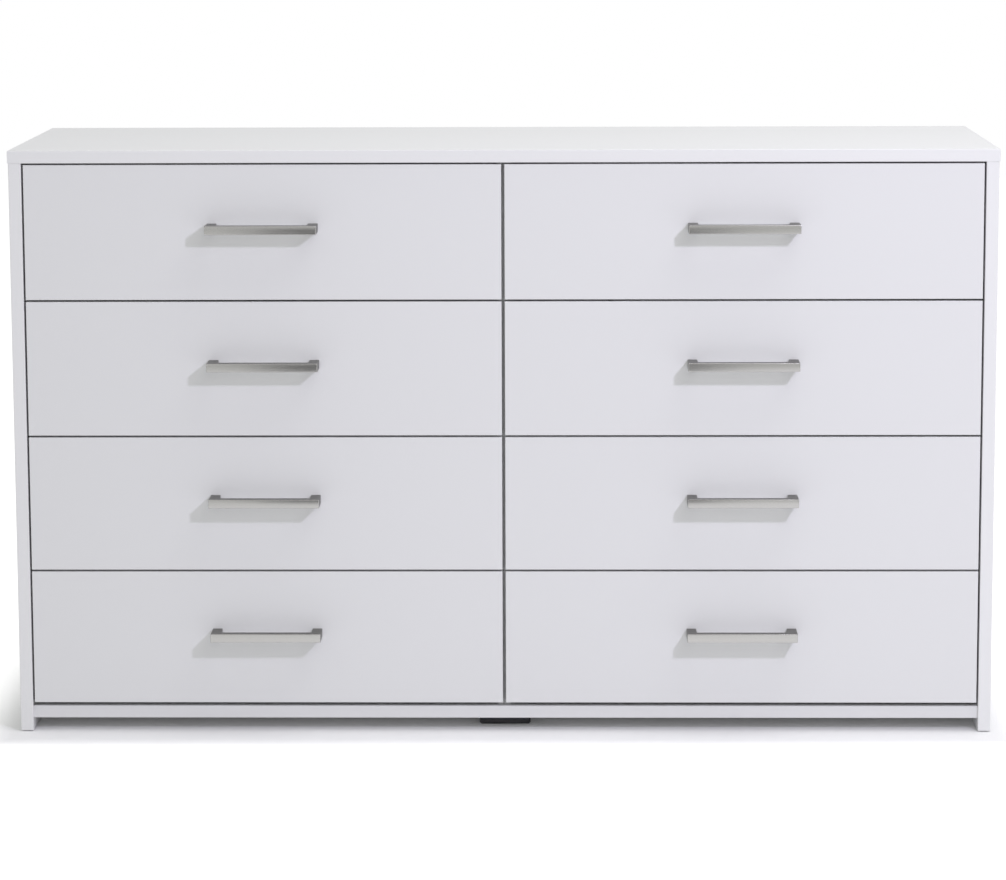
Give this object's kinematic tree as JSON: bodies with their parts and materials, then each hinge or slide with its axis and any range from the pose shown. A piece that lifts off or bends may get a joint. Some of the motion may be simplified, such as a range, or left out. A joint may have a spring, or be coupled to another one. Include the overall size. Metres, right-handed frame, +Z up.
{
  "type": "dresser with drawers",
  "caption": "Low wide chest of inset drawers in two columns, board carcass on side panels, bar handles, drawers on roller runners.",
  "frame": {"origin": "on the floor, under the middle of the box around the whole dresser with its handles", "axes": "+X across to the right as seen from the front, +Y to the back, +Z up; the fronts face -Y"},
  "size_m": [1.25, 0.434, 0.75],
  "materials": {
    "white_board": "white melamine foil on particle board, fine satin texture, banded edges",
    "back_sheet": "white printed hardboard",
    "satin_nickel": "satin nickel plate",
    "white_steel": "white powder coat, with white nylon rollers",
    "zinc": "bright zinc plate",
    "grey_plastic": "moulded grey plastic",
    "black_plastic": "moulded black plastic"
  },
  "bodies": {
    "carcass": {"top_panel": "white_board", "left_side_panel": "white_board", "right_side_panel": "white_board", "centre_divider": "white_board", "bottom_panel": "white_board", "back_panels": "back_sheet", "back_nails": "zinc", "carcass_fixings": "zinc", "floor_glides": "grey_plastic", "centre_foot": "black_plastic", "cabinet_runners": "white_steel", "runner_screws": "zinc"},
    "drawer_1_left": {"drawer_1_left_front": "white_board", "drawer_1_left_walls": "white_board", "drawer_1_left_bottom": "back_sheet", "drawer_1_left_handle": "satin_nickel", "drawer_1_left_fixings": "zinc", "drawer_1_left_runners": "white_steel"},
    "drawer_1_right": {"drawer_1_right_front": "white_board", "drawer_1_right_walls": "white_board", "drawer_1_right_bottom": "back_sheet", "drawer_1_right_handle": "satin_nickel", "drawer_1_right_fixings": "zinc", "drawer_1_right_runners": "white_steel"},
    "drawer_2_left": {"drawer_2_left_front": "white_board", "drawer_2_left_walls": "white_board", "drawer_2_left_bottom": "back_sheet", "drawer_2_left_handle": "satin_nickel", "drawer_2_left_fixings": "zinc", "drawer_2_left_runners": "white_steel"},
    "drawer_2_right": {"drawer_2_right_front": "white_board", "drawer_2_right_walls": "white_board", "drawer_2_right_bottom": "back_sheet", "drawer_2_right_handle": "satin_nickel", "drawer_2_right_fixings": "zinc", "drawer_2_right_runners": "white_steel"},
    "drawer_3_left": {"drawer_3_left_front": "white_board", "drawer_3_left_walls": "white_board", "drawer_3_left_bottom": "back_sheet", "drawer_3_left_handle": "satin_nickel", "drawer_3_left_fixings": "zinc", "drawer_3_left_runners": "white_steel"},
    "drawer_3_right": {"drawer_3_right_front": "white_board", "drawer_3_right_walls": "white_board", "drawer_3_right_bottom": "back_sheet", "drawer_3_right_handle": "satin_nickel", "drawer_3_right_fixings": "zinc", "drawer_3_right_runners": "white_steel"},
    "drawer_4_left": {"drawer_4_left_front": "white_board", "drawer_4_left_walls": "white_board", "drawer_4_left_bottom": "back_sheet", "drawer_4_left_handle": "satin_nickel", "drawer_4_left_fixings": "zinc", "drawer_4_left_runners": "white_steel"},
    "drawer_4_right": {"drawer_4_right_front": "white_board", "drawer_4_right_walls": "white_board", "drawer_4_right_bottom": "back_sheet", "drawer_4_right_handle": "satin_nickel", "drawer_4_right_fixings": "zinc", "drawer_4_right_runners": "white_steel"}
  },
  "joints": [
    {"name": "drawer_1_left_slide", "type": "slide", "parent": "carcass", "child": "drawer_1_left", "axis": [0, -1, 0], "range_m": [0, 0.26]},
    {"name": "drawer_1_right_slide", "type": "slide", "parent": "carcass", "child": "drawer_1_right", "axis": [0, -1, 0], "range_m": [0, 0.26]},
    {"name": "drawer_2_left_slide", "type": "slide", "parent": "carcass", "child": "drawer_2_left", "axis": [0, -1, 0], "range_m": [0, 0.26]},
    {"name": "drawer_2_right_slide", "type": "slide", "parent": "carcass", "child": "drawer_2_right", "axis": [0, -1, 0], "range_m": [0, 0.26]},
    {"name": "drawer_3_left_slide", "type": "slide", "parent": "carcass", "child": "drawer_3_left", "axis": [0, -1, 0], "range_m": [0, 0.26]},
    {"name": "drawer_3_right_slide", "type": "slide", "parent": "carcass", "child": "drawer_3_right", "axis": [0, -1, 0], "range_m": [0, 0.26]},
    {"name": "drawer_4_left_slide", "type": "slide", "parent": "carcass", "child": "drawer_4_left", "axis": [0, -1, 0], "range_m": [0, 0.26]},
    {"name": "drawer_4_right_slide", "type": "slide", "parent": "carcass", "child": "drawer_4_right", "axis": [0, -1, 0], "range_m": [0, 0.26]}
  ]
}
